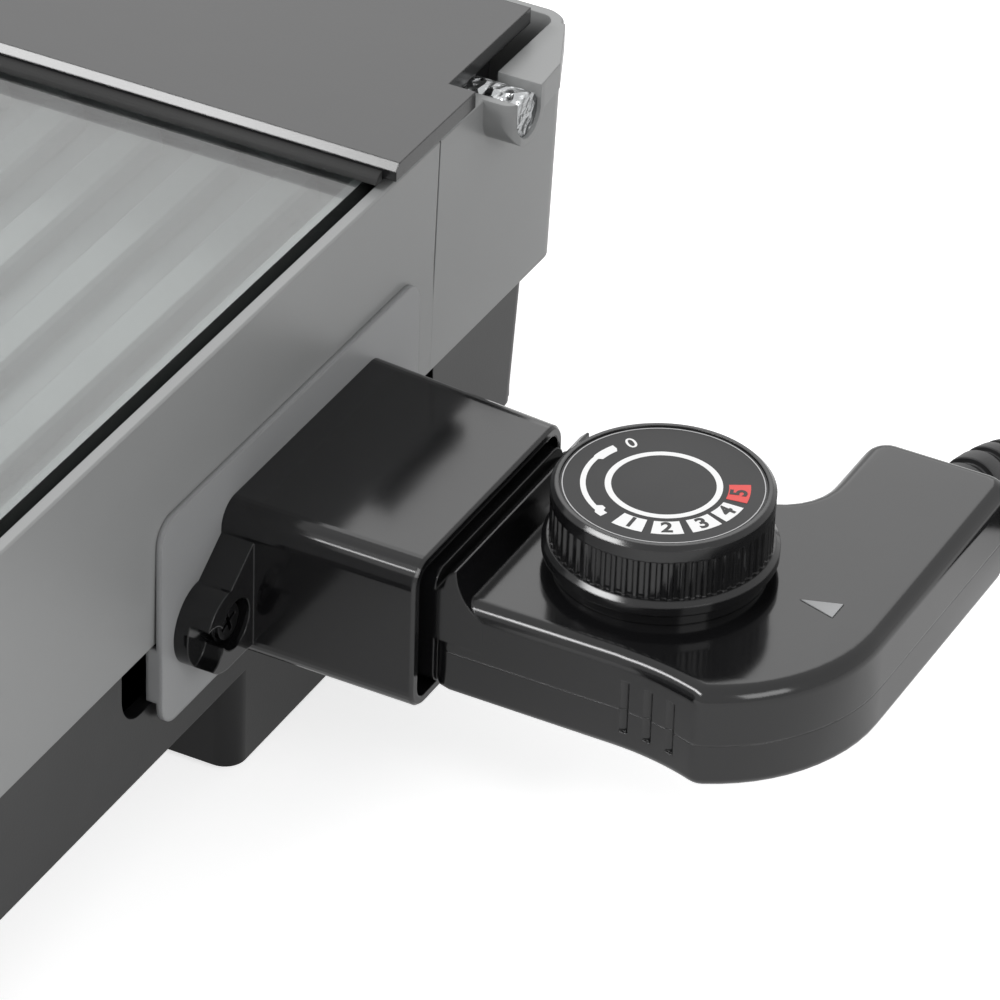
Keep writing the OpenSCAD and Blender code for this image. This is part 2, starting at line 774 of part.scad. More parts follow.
module house_loft(levels) {
  rings = [for (level = levels) [for (p = house_outline(level[1])) [p[0], p[1], level[0]]]];
  n = len(rings[0]);
  top = len(rings) - 1;
  hubs = [for (level = [levels[0], levels[top]]) [house_hub()[0], house_hub()[1], level[0]]];
  low_hub = (top + 1) * n;
  points = concat([for (ring = rings) each ring], hubs);
  sides = [for (k = [0 : top - 1], i = [0 : n - 1])
           [k * n + i, (k + 1) * n + i, (k + 1) * n + (i + 1) % n, k * n + (i + 1) % n]];
  underside = [for (i = [0 : n - 1]) [i, (i + 1) % n, low_hub]];
  topside = [for (i = [0 : n - 1]) [top * n + (i + 1) % n, top * n + i, low_hub + 1]];
  translate([dial_x, dial_y, 0]) polyhedron(points, concat(underside, sides, topside));
}

// Slides that the pins, the sleeves and the earth blade take in the control
module control_bores() {
  rod_x([plug_x - cut, cavity_x[0] + cut], socket_y, probe_z, probe_d / 2 + 0.02);
  for (side = [-1, 1]) {
    rod_x([plug_x - cut, terminal_end + 4], socket_y + side * pin_spread, probe_z, sleeve_r + 0.02);
  }
  earth_hole([plug_x - cut, terminal_end], 1);
  block(cavity_x, cavity_y, cavity_z);
  for (p = screw_places) rod_z(p[0], p[1], [house_z - cut, house_seam + 6], 1.5);
  for (p = screw_places) rod_z(p[0], p[1], [house_z - cut, house_z + 2.2], 3.3);
}

sleeve_r = 4.4;
screw_places = [[dial_x + 30, dial_y + 45], [dial_x - 4, dial_y - 24]];
flute_x = [8.5, 13.5, 18.5];
concave_r = 10.8;

// The raised collar at the shroud's mouth, which runs down into the housing's top in a hollow curve
module collar() {
  low = house_seam + 2;
  along_y([dial_y + near_side - hair, dial_y + far_side - 6]) difference() {
    polygon([[collar_x, low], [collar_x, house_top + 0.5], [collar_x + 2.6, house_top + 2.2],
             [collar_x + 3.4, collar_top - 1.4], [collar_x + 4.8, collar_top],
             [collar_x + 11, collar_top], [collar_x + 11, low]]);
    translate([collar_x + 16, collar_top]) circle(concave_r);
  }
}

function flute_y(x) = dial_y + flare_c[1] + sqrt(pow(flare_r, 2) - pow(x - flare_c[0], 2));

// Both halves of the housing together
module house() {
  difference() {
    union() {
      house_loft(concat(
        [for (a = [0 : 30 : 90]) [house_z + 2 * (1 - cos(a)), 2 * (1 - sin(a))]],
        [for (a = [0 : 15 : 90]) [house_top - house_round * (1 - sin(a)), house_round * (1 - cos(a))]]));
      collar();
      along_x([plug_x, collar_x + 1]) rounded_rect(plug_y, [house_z + 0.3, plug_top], 3.5);
    }
    control_bores();
    rod_z(dial_x, dial_y, [cavity_z[1] - cut, house_top + cut], shaft_r + run_gap);
    rod_z(dial_x, dial_y, [house_top - 1, house_top + cut], 5.02);
    for (x = flute_x)
      rod_z(dial_x + x, flute_y(x) - 0.5, [house_z + 4.5, house_top - 5.5], 1.1, $fn = 24);
    lens_shape([house_top - 1, house_top + cut], 0.05);
  }
}

module control_upper() {
  color("#1a1a1c") at_body() intersection() {
    house();
    block([plug_x - 5, dial_x + 60], [0, dial_y + 80], [house_seam, collar_top + cut]);
  }
}

module control_lower() {
  color("#18181a") at_body() intersection() {
    house();
    block([plug_x - 5, dial_x + 60], [0, dial_y + 80], [house_z - cut, house_seam]);
  }
}

module control_screws() {
  color("#8d8f91") at_body() for (p = screw_places) {
    rod_z(p[0], p[1], [house_z + 0.4, house_z + 2.2], 2.8);
    rod_z(p[0], p[1], [house_z + 2, house_seam + 5], 1.48);
  }
}

lens_tip = [dial_x + 28.1, dial_y + 2];
lens_base = dial_x + 35.6;
lens_half = 2.4;

module lens_shape(z, grow) {
  translate([0, 0, z[0]]) linear_extrude(z[1] - z[0])
    polygon([lens_tip - [2 * grow, 0], [lens_base + grow, lens_tip[1] + 0.2 - lens_half - grow],
             [lens_base + grow, lens_tip[1] + 0.2 + lens_half + grow]]);
}

module pointer_lens() {
  color("#c9cacb") at_body() lens_shape([house_top - 1, house_top + 0.15], 0);
}

module probe() {
  color("#c3c5c7") at_body() {
    rod_x([boss_x[0] + 5.5, cavity_x[0] + 3], socket_y, probe_z, probe_d / 2);
    translate([boss_x[0] + 5.5, socket_y, probe_z]) sphere(probe_d / 2);
  }
}

module contact_sleeves() {
  color("#c2a45a") at_body() for (side = [-1, 1]) difference() {
    rod_x([plug_x + 2, terminal_end + 3], socket_y + side * pin_spread, probe_z, sleeve_r);
    rod_x([plug_x + 1, terminal_end + 1], socket_y + side * pin_spread, probe_z, terminal_r + run_gap);
  }
}

base_block_z = [cavity_z[0], cavity_z[0] + 6];

module thermostat_base() {
  color("#d8d3c6") at_body()
    block([cavity_x[0] + 2, cavity_x[1] - 2], [cavity_y[0] + 3, cavity_y[1] - 3],
          [base_block_z[0], base_block_z[1] - 1]);
}

module contact_blade() {
  color("#c2a45a") at_body() {
    y = [dial_y - 12, dial_y - 6];
    low = base_block_z[1] - 1;
    block([cavity_x[0] + 5, cavity_x[1] - 4], y, [low, low + 1]);
    block([cavity_x[0] + 5, cavity_x[0] + 11], y, [low, low + 3]);
  }
}

// Dial

module dial_collar() {
  color("#161618") at_body() difference() {
    union() {
      rod_z(dial_x, dial_y, [house_top, house_top + skirt_h], dial_d / 2 - 0.4);
      rod_z(dial_x, dial_y, [house_top - 1, house_top + 1], 5);
    }
    rod_z(dial_x, dial_y, [house_top - 2, house_top + skirt_h + cut], shaft_r + run_gap);
  }
}

module dial_knob() {
  r = dial_d / 2;
  step = 360 / dial_flutes;
  ridge = 0.1;
  flute = 0.6;
  profile = [[0, ridge], [0.3, ridge], [0.45, flute], [0.85, flute]];
  color("#17171a") at_body() translate([dial_x, dial_y, 0]) difference() {
    union() {
      translate([0, 0, dial_z]) rotate_extrude()
        polygon([[0, 0], [dial_flange_d / 2 - 0.5, 0], [dial_flange_d / 2, 0.5],
                 [dial_flange_d / 2, dial_flange_h - 0.9], [dial_flange_d / 2 - 0.9, dial_flange_h],
                 [0, dial_flange_h]]);
      translate([0, 0, knob_z - 0.5]) linear_extrude(dial_h - smooth_h + 0.5)
        polygon([for (i = [0 : dial_flutes - 1], part = profile)
                 (r - part[1]) * [cos((i + part[0]) * step), sin((i + part[0]) * step)]]);
      translate([0, 0, knob_top - smooth_h]) rotate_extrude()
        polygon([[0, 0], [r, 0], [r, smooth_h - 0.8], [r - 0.8, smooth_h], [0, smooth_h]]);
    }
    translate([0, 0, knob_top - label_t - 0.3]) cylinder(h = 2, r = label_d / 2 + 0.05);
    translate([0, 0, dial_z - cut]) cylinder(h = 9, r = shaft_r);
  }
}

module dial_label() {
  color("#2b2b2d") at_body()
    rod_z(dial_x, dial_y, [knob_top - label_t - 0.3, knob_top - 0.3], label_d / 2);
}

module dial_shaft() {
  color("#c3c5c7") at_body() rod_z(dial_x, dial_y, [cam_z[0], dial_z + 9 - cut], shaft_r);
}

cam_z = [cavity_z[1] - 4, cavity_z[1] - 1];

// A snail cam, its radius growing with the turn, that loads the contact blade
module dial_cam() {
  color("#d9d4c5") at_body() translate([dial_x, dial_y, cam_z[0]]) difference() {
    linear_extrude(cam_z[1] - cam_z[0])
      polygon([for (a = [0 : 10 : 350]) (6 + a / 120) * [cos(a), sin(a)]]);
    translate([0, 0, -cut]) cylinder(h = 10, r = shaft_r);
  }
}

// Cord

function normals(path) = [for (i = [0 : len(path) - 1])
  unit(path[min(i + 1, len(path) - 1)] - path[max(i - 1, 0)])];

// A round tube along a path of points, its radius given at each point
module swept_tube(path, radii, sides) {
  headings = normals(path);
  n = len(path);
  rings = [for (i = [0 : n - 1])
    let (t = headings[i], u = unit(cross(t, [0, 0, 1])), v = cross(u, t))
    [for (s = [0 : sides - 1]) path[i] + radii[i] * (cos(360 * s / sides) * u + sin(360 * s / sides) * v)]];
  points = [for (ring = rings) each ring];
  walls = [for (i = [0 : n - 2], s = [0 : sides - 1])
           [i * sides + s, i * sides + (s + 1) % sides,
            (i + 1) * sides + (s + 1) % sides, (i + 1) * sides + s]];
  polyhedron(points, concat([[for (s = [sides - 1 : -1 : 0]) s]], walls,
                            [[for (s = [0 : sides - 1]) (n - 1) * sides + s]]));
}

// The route's points as places, in the plane of the grip's end
function placed(route) = [for (p = route) [cord_x, p[0], p[1]]];

relief_steps = 8;
function relief_point(f) = [cord_x, relief_y + (relief_end[0] - relief_y) * f,
                            relief_z + (relief_end[1] - relief_z) * f * f];

module strain_relief() {
  path = [for (i = [0 : relief_steps]) relief_point(i / relief_steps)];
  color("#141416") at_body()
    swept_tube(path, [for (i = [0 : relief_steps]) 6.6 - 2.2 * i / relief_steps], 16);
}

module cord() {
  color("#1c1c1e") at_body() swept_tube(placed(cord_route), [for (p = cord_route) cord_r], 10);
}

module cord_tail() {
  color("#1c1c1e") at_body() swept_tube(placed(tail_route), [for (p = tail_route) cord_r], 10);
}

// The coil winds in on its lower layer and out again on its upper one; turn counts from its start
half_coil = coil_turns / 2;
function coil_r(turn) = coil_out - coil_step * (half_coil - abs(turn - half_coil));
function coil_h(turn) = coil_z + coil_rise * min(max((turn - half_coil) * 2 + 0.5, 0), 1);
function coil_point(turn) = [cord_x + coil_out + coil_r(turn) * cos(180 - 360 * turn),
                             coil_y + coil_r(turn) * sin(180 - 360 * turn), coil_h(turn)];

module cord_coil() {
  path = [for (i = [0 : coil_turns * coil_rings]) coil_point(i / coil_rings)];
  color("#1c1c1e") at_body() swept_tube(path, [for (p = path) cord_r], coil_sides);
}

module cord_tie() {
  t = 0.9;
  middle = cord_x + coil_out;
  x = [middle + coil_r(half_coil) - cord_r - 0.3, middle + coil_out + cord_r + 0.3];
  z = [t, coil_z + coil_rise + cord_r + 0.3];
  color("#2a2a2c") at_body() along_y([coil_y - 3, coil_y + 3]) difference() {
    rounded_rect(x + [-t, t], z + [-t, t], 3);
    rounded_rect(x, z, 2.1);
  }
}

plug_r = 18.5;
mains_pin = [2.4, 19, 9.5];

module plug_body() {
  color("#1a1a1c") at_body() translate([cord_x, plug_back, plug_axis_z]) rotate([-90, 0, 0]) difference() {
    rotate_extrude()
      polygon([[0, 0], [5.5, 0], [6.5, 14], [11, 17], [12.5, 30], [plug_r - 1, 33], [plug_r, 34],
               [plug_r, 43], [plug_r - 1, 44], [0, 44]]);
    for (x = [-mains_pin[2], mains_pin[2]]) translate([x, 0, 34]) cylinder(h = 20, r = mains_pin[0] + 0.02);
  }
}

module plug_pins() {
  color("#cfd0d2") at_body() translate([cord_x, plug_back, plug_axis_z]) rotate([-90, 0, 0])
    for (x = [-mains_pin[2], mains_pin[2]]) translate([x, 0, 34])
      cylinder(h = 10 + mains_pin[1], r = mains_pin[0]);
}

base_frame();
foot_pad(1);  // foot_pad_1
foot_pad(2);  // foot_pad_2
foot_pad(3);  // foot_pad_3
foot_pad(4);  // foot_pad_4
drip_tray();
shell_front();
shell_rear();
rear_channel();
grill_plate();
plate_screws();
heating_element();
element_bar(bar_x[0]);  // element_bar_left
element_bar(bar_x[1]);  // element_bar_right
element_clips();
terminal_block();
terminal_pins();
earth_blade();
socket_plate();
socket_shroud();
shroud_screws();
hinge_pin(-1);  // hinge_pin_left
hinge_pin(1);  // hinge_pin_right
lid_panel();
lid_glass();
glass_seal();
clamp_bar();
clamp_screws();
lid_handle();
handle_spacers();
handle_screws();
lid_bumpers();
control_lower();
control_upper();
control_screws();
probe();
contact_sleeves();
thermostat_base();
contact_blade();
pointer_lens();
dial_collar();
dial_knob();
dial_label();
dial_shaft();
dial_cam();
strain_relief();
cord();
cord_coil();
cord_tail();
cord_tie();
plug_body();
plug_pins();
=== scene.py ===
# %% [markdown]
# # An electric indoor grill with a lid, rear right corner
#
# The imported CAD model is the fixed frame. This script gives its nodes the finish of the real materials,
# models the pieces whose shape the CAD keeps plain, and sets up the camera, the floor and the lamps.
# Everything is in metres here, while sizes are thought of in millimetres, so one factor turns them.

# %% Load the frame
import json
import math

import bpy
from mathutils import Euler, Matrix, Vector

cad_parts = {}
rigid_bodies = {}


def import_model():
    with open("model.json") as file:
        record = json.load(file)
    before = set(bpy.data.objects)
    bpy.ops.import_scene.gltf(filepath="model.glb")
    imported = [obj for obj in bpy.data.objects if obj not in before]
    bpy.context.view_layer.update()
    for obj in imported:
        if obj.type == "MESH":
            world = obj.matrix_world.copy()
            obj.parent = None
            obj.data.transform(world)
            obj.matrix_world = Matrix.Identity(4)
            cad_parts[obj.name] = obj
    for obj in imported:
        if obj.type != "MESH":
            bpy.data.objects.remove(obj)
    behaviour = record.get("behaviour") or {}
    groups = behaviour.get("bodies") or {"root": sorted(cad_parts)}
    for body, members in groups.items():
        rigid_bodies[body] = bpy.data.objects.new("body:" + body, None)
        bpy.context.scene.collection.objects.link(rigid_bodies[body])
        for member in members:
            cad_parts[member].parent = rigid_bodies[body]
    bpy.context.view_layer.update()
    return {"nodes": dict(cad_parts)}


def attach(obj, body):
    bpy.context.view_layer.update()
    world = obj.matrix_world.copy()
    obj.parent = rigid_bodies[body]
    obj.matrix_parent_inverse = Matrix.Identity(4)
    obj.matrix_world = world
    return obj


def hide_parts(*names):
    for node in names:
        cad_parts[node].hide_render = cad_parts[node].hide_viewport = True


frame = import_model()
MM = 0.001

# %% [markdown]
# ## Camera
# The photograph was taken with a long lens from the front right, about 34 degrees above the table. The lens
# looks straight down its own axis, so that other views of the model stay centred too.

# %% Camera at the photograph's angle
AZIMUTH, ELEVATION, ROLL = math.radians(26.7235), math.radians(34.2665), math.radians(2.0202)
CAMERA_PLACE = Vector((653.77, -849.10, 745.70))
SENSOR, LENS, FAR_LIMIT = 36, 232.303, 20

camera_data = bpy.data.cameras.new("camera")
camera_data.sensor_width = SENSOR
camera_data.lens = LENS
camera_data.clip_end = FAR_LIMIT
camera = bpy.data.objects.new("camera", camera_data)
camera.location = CAMERA_PLACE * MM
tilt = Euler((math.radians(90) - ELEVATION, 0, AZIMUTH)).to_matrix() @ Matrix.Rotation(ROLL, 3, "Z")
camera.rotation_mode = "QUATERNION"
camera.rotation_quaternion = tilt.to_quaternion()
bpy.context.scene.collection.objects.link(camera)
bpy.context.scene.camera = camera
print("camera:", round(camera_data.lens), "mm lens at", [round(v, 3) for v in camera.location])

# %% [markdown]
# ## Mains lead
# A round flexible lead of 7 mm leaves the control's grip, droops to the table and is put away in a neat coil
# of five turns, which lies just outside the picture and ends in a moulded plug. A section could be swept
# along it by hand, but a curve with a round section keeps its thickness by itself, and its line is the
# lead's real length. It is made a mesh once it is laid, so that its box is exact.

# %% The lead's route
CORD_D = 7
CORD_X = 270.35
COIL_Y, COIL_OUT, COIL_STEP, COIL_TURNS, COIL_RINGS = 215, 51.5, 7.6, 5, 24
COIL_Z, COIL_RISE = 4.6, 7.6
# Where the lead falls from the grip, and where it runs from the coil to the plug, as depth and height
droop = [(134, 44), (141, 41), (150, 36), (160, 28), (170, 19), (180, 11), (189, 6.4), (198, 4.7), (207, 4.6)]
tail = [(222, 12.3), (232, 13.8), (242, 16.2), (252, 18.2), (260, 18.6), (270, 18.6)]


def coil_point(turn):
    """A point of the coil, which winds inwards for half its turns and back out on top of them."""
    half = COIL_TURNS / 2
    radius = COIL_OUT - COIL_STEP * (half - abs(turn - half))
    height = COIL_Z + COIL_RISE * min(max((turn - half) * 2 + 0.5, 0), 1)
    angle = math.pi - 2 * math.pi * turn
    return (CORD_X + COIL_OUT + radius * math.cos(angle), COIL_Y + radius * math.sin(angle), height)


coil = [coil_point(i / COIL_RINGS) for i in range(COIL_TURNS * COIL_RINGS + 1)]
route = [(CORD_X, y, z) for y, z in droop] + coil + [(CORD_X, y, z) for y, z in tail]

# %% The lead itself
lead_data = bpy.data.curves.new("power_cord", "CURVE")
lead_data.dimensions = "3D"
lead_data.bevel_depth = CORD_D / 2 * MM
lead_data.bevel_resolution = 5
lead_data.use_fill_caps = True
line = lead_data.splines.new("POLY")
line.points.add(len(route) - 1)
for point, place in zip(line.points, route):
    point.co = (*[v * MM for v in place], 1)
line.use_smooth = True
power_cord = bpy.data.objects.new("power_cord", lead_data)
bpy.context.scene.collection.objects.link(power_cord)
bpy.ops.object.select_all(action="DESELECT")
power_cord.select_set(True)
bpy.context.view_layer.objects.active = power_cord
bpy.ops.object.convert(target="MESH")
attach(power_cord, "control")
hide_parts("cord", "cord_coil", "cord_tail")

# %% [markdown]
# ## Helpers for modelling
# Every new piece starts as a primitive at its size and place and is shaped in edit mode, as by hand.
# Blender's operators act on all that is selected, so a piece starts with nothing selected, and its faces or
# points are then chosen in code by where they are.

# %% Start a piece, choose parts of it, finish it
import bmesh

MERGE = 0.002
SHARP_ANGLE = 35
ROUNDING_STEPS = 3


def leave_edit_mode():
    """Goes back to object mode with nothing chosen."""
    if bpy.context.mode != "OBJECT":
        bpy.ops.object.mode_set(mode="OBJECT")
    bpy.ops.object.select_all(action="DESELECT")


def start(primitive, name, **settings):
    """Adds a primitive, names it and leaves it in edit mode with nothing chosen."""
    leave_edit_mode()
    primitive(**settings)
    piece = bpy.context.object
    piece.name = piece.data.name = name
    bpy.ops.object.transform_apply(location=True, rotation=True, scale=True)
    bpy.ops.object.mode_set(mode="EDIT")
    bpy.ops.mesh.select_all(action="DESELECT")
    return piece


def pick(kind, test):
    """Chooses the "verts" or "faces" of the mesh in edit mode that pass the test."""
    bpy.ops.mesh.select_mode(type={"verts": "VERT", "faces": "FACE"}[kind])
    bpy.ops.mesh.select_all(action="DESELECT")
    mesh = bmesh.from_edit_mesh(bpy.context.object.data)
    for part in getattr(mesh, kind):
        if test(part):
            part.select_set(True)
    bmesh.update_edit_mesh(bpy.context.object.data)


def middle(part):
    """The middle of a face, or a point's place, in millimetres."""
    if isinstance(part, bmesh.types.BMFace):
        return part.calc_center_median() / MM
    return part.co / MM


def grow(step, factor=1, centre=None):
    """Extrudes what is chosen by a step in millimetres and scales the new end about its centre."""
    bpy.ops.mesh.extrude_region_move(TRANSFORM_OT_translate={"value": Vector(step) * MM})
    if factor != 1:
        bpy.ops.transform.resize(value=(factor,) * 3, center_override=Vector(centre) * MM)


def finish(piece, body, material, smooth=None, bevel=None, replaces=()):
    """Turns the faces outwards, rounds the edges, and hands the piece to its body and material."""
    bpy.ops.mesh.select_all(action="SELECT")
    bpy.ops.mesh.remove_doubles(threshold=MERGE * MM)
    bpy.ops.mesh.normals_make_consistent(inside=False)
    bpy.ops.object.mode_set(mode="OBJECT")
    if bevel:
        rounding = piece.modifiers.new("rounding", "BEVEL")
        rounding.width, rounding.segments, rounding.limit_method = bevel * MM, ROUNDING_STEPS, "ANGLE"
        rounding.angle_limit = math.radians(SHARP_ANGLE)
        bpy.ops.object.modifier_apply(modifier="rounding")
    if smooth:
        bpy.ops.object.shade_smooth_by_angle(angle=math.radians(smooth))
    piece.data.materials.clear()
    piece.data.materials.append(material)
    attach(piece, body)
    if replaces:
        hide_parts(*replaces)
    print(piece.name, len(piece.data.polygons), "faces")
    return piece


# %% [markdown]
# ## Helpers for materials
# Colours are read off as sRGB hex values, while the shader works in linear light. Patterns are laid out in
# Object coordinates, in metres, so their scale comes from a real size: one cell per that many millimetres.
# Moulded and pressed edges are never quite sharp, and a Bevel node rounds how they catch the light.

# %% Colour, nodes and a base for each finish
def colour(hex_code):
    """An sRGB hex colour as linear RGBA."""
    parts = [int(hex_code[i:i + 2], 16) / 255 for i in (1, 3, 5)]
    return (*[c / 12.92 if c <= 0.04045 else ((c + 0.055) / 1.055) ** 2.4 for c in parts], 1)


def put(tree, kind, inputs=(), **settings):
    """Adds a node, sets its properties, and sets or links its inputs."""
    node = tree.nodes.new("ShaderNode" + kind)
    for name, value in settings.items():
        setattr(node, name, value)
    for socket, value in dict(inputs).items():
        if isinstance(value, bpy.types.NodeSocket):
            tree.links.new(value, node.inputs[socket])
        else:
            node.inputs[socket].default_value = value
    return node


def per(millimetres):
    """The scale at which a pattern repeats once in so many millimetres."""
    return 1 / (millimetres * MM)


finishes = {}


def surface(slot, name, tones, rough, grain, depth, cloud=60, edge=0.35, **shader):
    """A finish whose colour drifts between two tones, whose gloss varies a little and whose skin has a grain.

    tones are two hex colours and rough is the least and most roughness. The rest are millimetres: grain is
    the size of the skin's texture, depth its height, cloud the size of the drift and edge the softening of
    sharp edges. It hands back what a finish with more to it goes on from."""
    material = bpy.data.materials.new(name)
    material.use_nodes = True
    tree = material.node_tree
    base = tree.nodes["Principled BSDF"]
    place = put(tree, "TexCoord").outputs["Object"]
    drift = put(tree, "TexNoise", {"Vector": place, "Scale": per(cloud), "Detail": 4.0}).outputs["Fac"]
    skin = put(tree, "TexNoise", {"Vector": place, "Scale": per(grain), "Detail": 3.0}).outputs["Fac"]
    blend = put(tree, "Mix", {"Factor": drift, 6: colour(tones[0]), 7: colour(tones[1])}, data_type="RGBA")
    tree.links.new(blend.outputs[2], base.inputs["Base Color"])
    gloss = put(tree, "MapRange", {"Value": drift, "From Min": 0.3, "From Max": 0.7,
                                   "To Min": rough[0], "To Max": rough[1]})
    tree.links.new(gloss.outputs["Result"], base.inputs["Roughness"])
    rounded = put(tree, "Bevel", {"Radius": edge * MM}, samples=4).outputs["Normal"]
    bump = put(tree, "Bump", {"Height": skin, "Distance": depth * MM, "Strength": 1.0, "Normal": rounded})
    tree.links.new(bump.outputs["Normal"], base.inputs["Normal"])
    for socket, value in shader.items():
        base.inputs[socket.replace("_", " ")].default_value = value
    finishes[slot] = material
    return tree, base, place


# %% [markdown]
# ## Painted and coated metal
# The shell is pressed steel, sprayed with a heat-resistant silver grey paint. Such a paint dries satin, with
# a faint orange-peel skin and a slow drift in its gloss. The same paint, a little lighter, covers the socket
# plate. The grill plate is cast aluminium under a grey non-stick coat, and the tray is bare sheet. The rear
# channel is black-coated sheet. Its black is partly its own coat and partly painted shade in the deep gap
# behind the grill plate.

# %% Paints and metals
surface("shell_paint", "silver_grey_stove_paint", ("#888989", "#919292"), (0.36, 0.46), 0.9, 0.012, IOR=1.5)
surface("socket_paint", "light_grey_stove_paint", ("#8d8e8f", "#979899"), (0.38, 0.48), 0.9, 0.015, edge=1.1)
surface("cast_plate", "non_stick_cast_aluminium", ("#6c6e6f", "#77797a"), (0.34, 0.5), 1.2, 0.03, edge=0.8)
surface("tray_steel", "tinned_tray_steel", ("#8f9193", "#a2a4a6"), (0.28, 0.4), 1.6, 0.01, Metallic=1.0)
# The rear channel's near-black is partly its own coat and partly painted shade for the deep gap behind the
# grill plate
surface("black_steel", "black_steel_and_painted_gap_shade", ("#1f2021", "#2a2b2c"), (0.4, 0.55), 0.8, 0.02)
surface("zinc_steel", "zinc_plated_steel", ("#a4a7aa", "#b8babc"), (0.25, 0.42), 2.5, 0.01, Metallic=1.0)
surface("element_sheath", "oxidised_element_sheath", ("#4b4a48", "#5d5a56"), (0.4, 0.6), 0.7, 0.02,
        Metallic=1.0)
surface("nickel", "nickel_plate", ("#bdbfc0", "#cfd0d1"), (0.12, 0.25), 3, 0.004, Metallic=1.0)
surface("contact_brass", "contact_brass", ("#b08d4a", "#c19d56"), (0.25, 0.35), 2, 0.005, Metallic=1.0)
surface("ceramic", "steatite_ceramic", ("#d8d3c8", "#e4dfd4"), (0.5, 0.65), 0.6, 0.02)
surface("screw_black", "blackened_screw_steel", ("#2b2b2c", "#3b3b3c"), (0.22, 0.38), 0.5, 0.01, Metallic=1.0)
print(len(finishes), "metal finishes")

# %% [markdown]
# ## Plastics and rubber
# The shroud and the control are glossy black plastic from a polished mould: deep black, a clear mirror of the
# light above, and a very slight waviness. The base is the same plastic with a satin skin. The lead and
# the feet are softer and duller.

# %% Plastics and rubber
surface("gloss_black", "polished_black_abs", ("#0e0e0f", "#131314"), (0.08, 0.14), 26, 0.05, edge=0.45,
        IOR=1.5)
surface("panel_gloss", "black_enamel", ("#151516", "#1b1b1c"), (0.14, 0.2), 18, 0.03, edge=0.4, IOR=1.5)
surface("base_plastic", "satin_black_plastic", ("#0c0c0d", "#111112"), (0.3, 0.4), 0.7, 0.012, IOR=1.42)
surface("cord_rubber", "black_pvc_sheath", ("#161617", "#1f1f20"), (0.42, 0.55), 0.5, 0.02, edge=0.3)
surface("foot_rubber", "black_foot_rubber", ("#171717", "#1f1f1f"), (0.7, 0.85), 0.5, 0.03, edge=0.3)
surface("label_print", "satin_label_film", ("#101011", "#151516"), (0.45, 0.55), 0.4, 0.006, edge=0.1)
surface("lens_grey", "pale_pointer_inlay", ("#8f9091", "#9b9c9d"), (0.3, 0.4), 0.6, 0.01, edge=0.15)
print(len(finishes), "finishes so far")

# %% [markdown]
# ## Tempered glass
# The lid is a clear plate of tempered glass, as flat as a mirror, so its skin has next to no grain. Its edge
# looks grey-green because light travels a long way in it, so the body has a faint tint. Light that falls
# through it on the plate could be traced through the refracting body, which is slow and leaves noise, so
# rays that only carry shadow or soft light pass straight through it.

# %% Glass
tree, base, place = surface("lid_glass", "tempered_glass", ("#e6eae9", "#eceeed"), (0.0, 0.0), 30, 0.0005,
                            edge=0.3, IOR=1.5)
base.inputs["Transmission Weight"].default_value = 1.0
rays = put(tree, "LightPath").outputs
soft = put(tree, "Math", {0: rays["Is Shadow Ray"], 1: rays["Is Diffuse Ray"]}, operation="MAXIMUM")
clear = put(tree, "BsdfTransparent", {"Color": colour("#e2e6e5")})
both = put(tree, "MixShader", {0: soft.outputs[0], 1: base.outputs["BSDF"], 2: clear.outputs["BSDF"]})
tree.links.new(both.outputs["Shader"], tree.nodes["Material Output"].inputs["Surface"])

# %% [markdown]
# ## Finishes on the CAD nodes
# Each node arrives with a plain material named after its slot. Its shape is right, so it stays and only takes
# the finish of that slot.

# %% Put every finish on its CAD nodes
for node in frame["nodes"].values():
    slot = node.material_slots[0].material.name.split(".")[0]
    node.material_slots[0].material = finishes[slot]
power_cord.data.materials.append(finishes["cord_rubber"])
print(len(frame["nodes"]), "nodes dressed")

# %% [markdown]
# ## Crumpled pin end
# The end of the right hinge pin shows at the shell's corner. It is soft bright metal that was upset and left
# rough, so it glitters in small facets. The pin's own node stays, and only its finish is rougher than the
# polished plating of the other small parts: sharp cells of different tilt, as a hammer leaves them.

# %% Rough bright metal
DENT, DENT_DEPTH = 2.2, 1.2

tree, base, place = surface("hinge_pin", "upset_pin_metal", ("#a9abac", "#c6c8c9"), (0.2, 0.34), 1.1, 0.25,
                            cloud=4, edge=0.8, Metallic=1.0)
dents = put(tree, "TexVoronoi", {"Vector": place, "Scale": per(DENT)}, feature="F1").outputs["Distance"]
skin_bump = base.inputs["Normal"].links[0].from_node
hammered = put(tree, "Bump", {"Height": dents, "Distance": DENT_DEPTH * MM, "Strength": 1.0,
                              "Normal": skin_bump.outputs["Normal"]})
tree.links.new(hammered.outputs["Normal"], base.inputs["Normal"])
for name in ("hinge_pin_left", "hinge_pin_right"):
    frame["nodes"][name].material_slots[0].material = finishes["hinge_pin"]
print("hinge pins roughened")

# %% [markdown]
# ## Smooth skin of the control's housing
# The CAD holds the housing's tangent arcs as narrow flat strips, which show in a polished surface. Both
# halves could be modelled again, but a copy of each, merged and shaded smooth where its faces meet at a
# small angle, has the same shape and a clean reflection. Normals weighted by the faces' area keep the flat
# top flat.

# %% Smooth copies of both halves
COPY_MERGE, COPY_SMOOTH = 0.004, 32

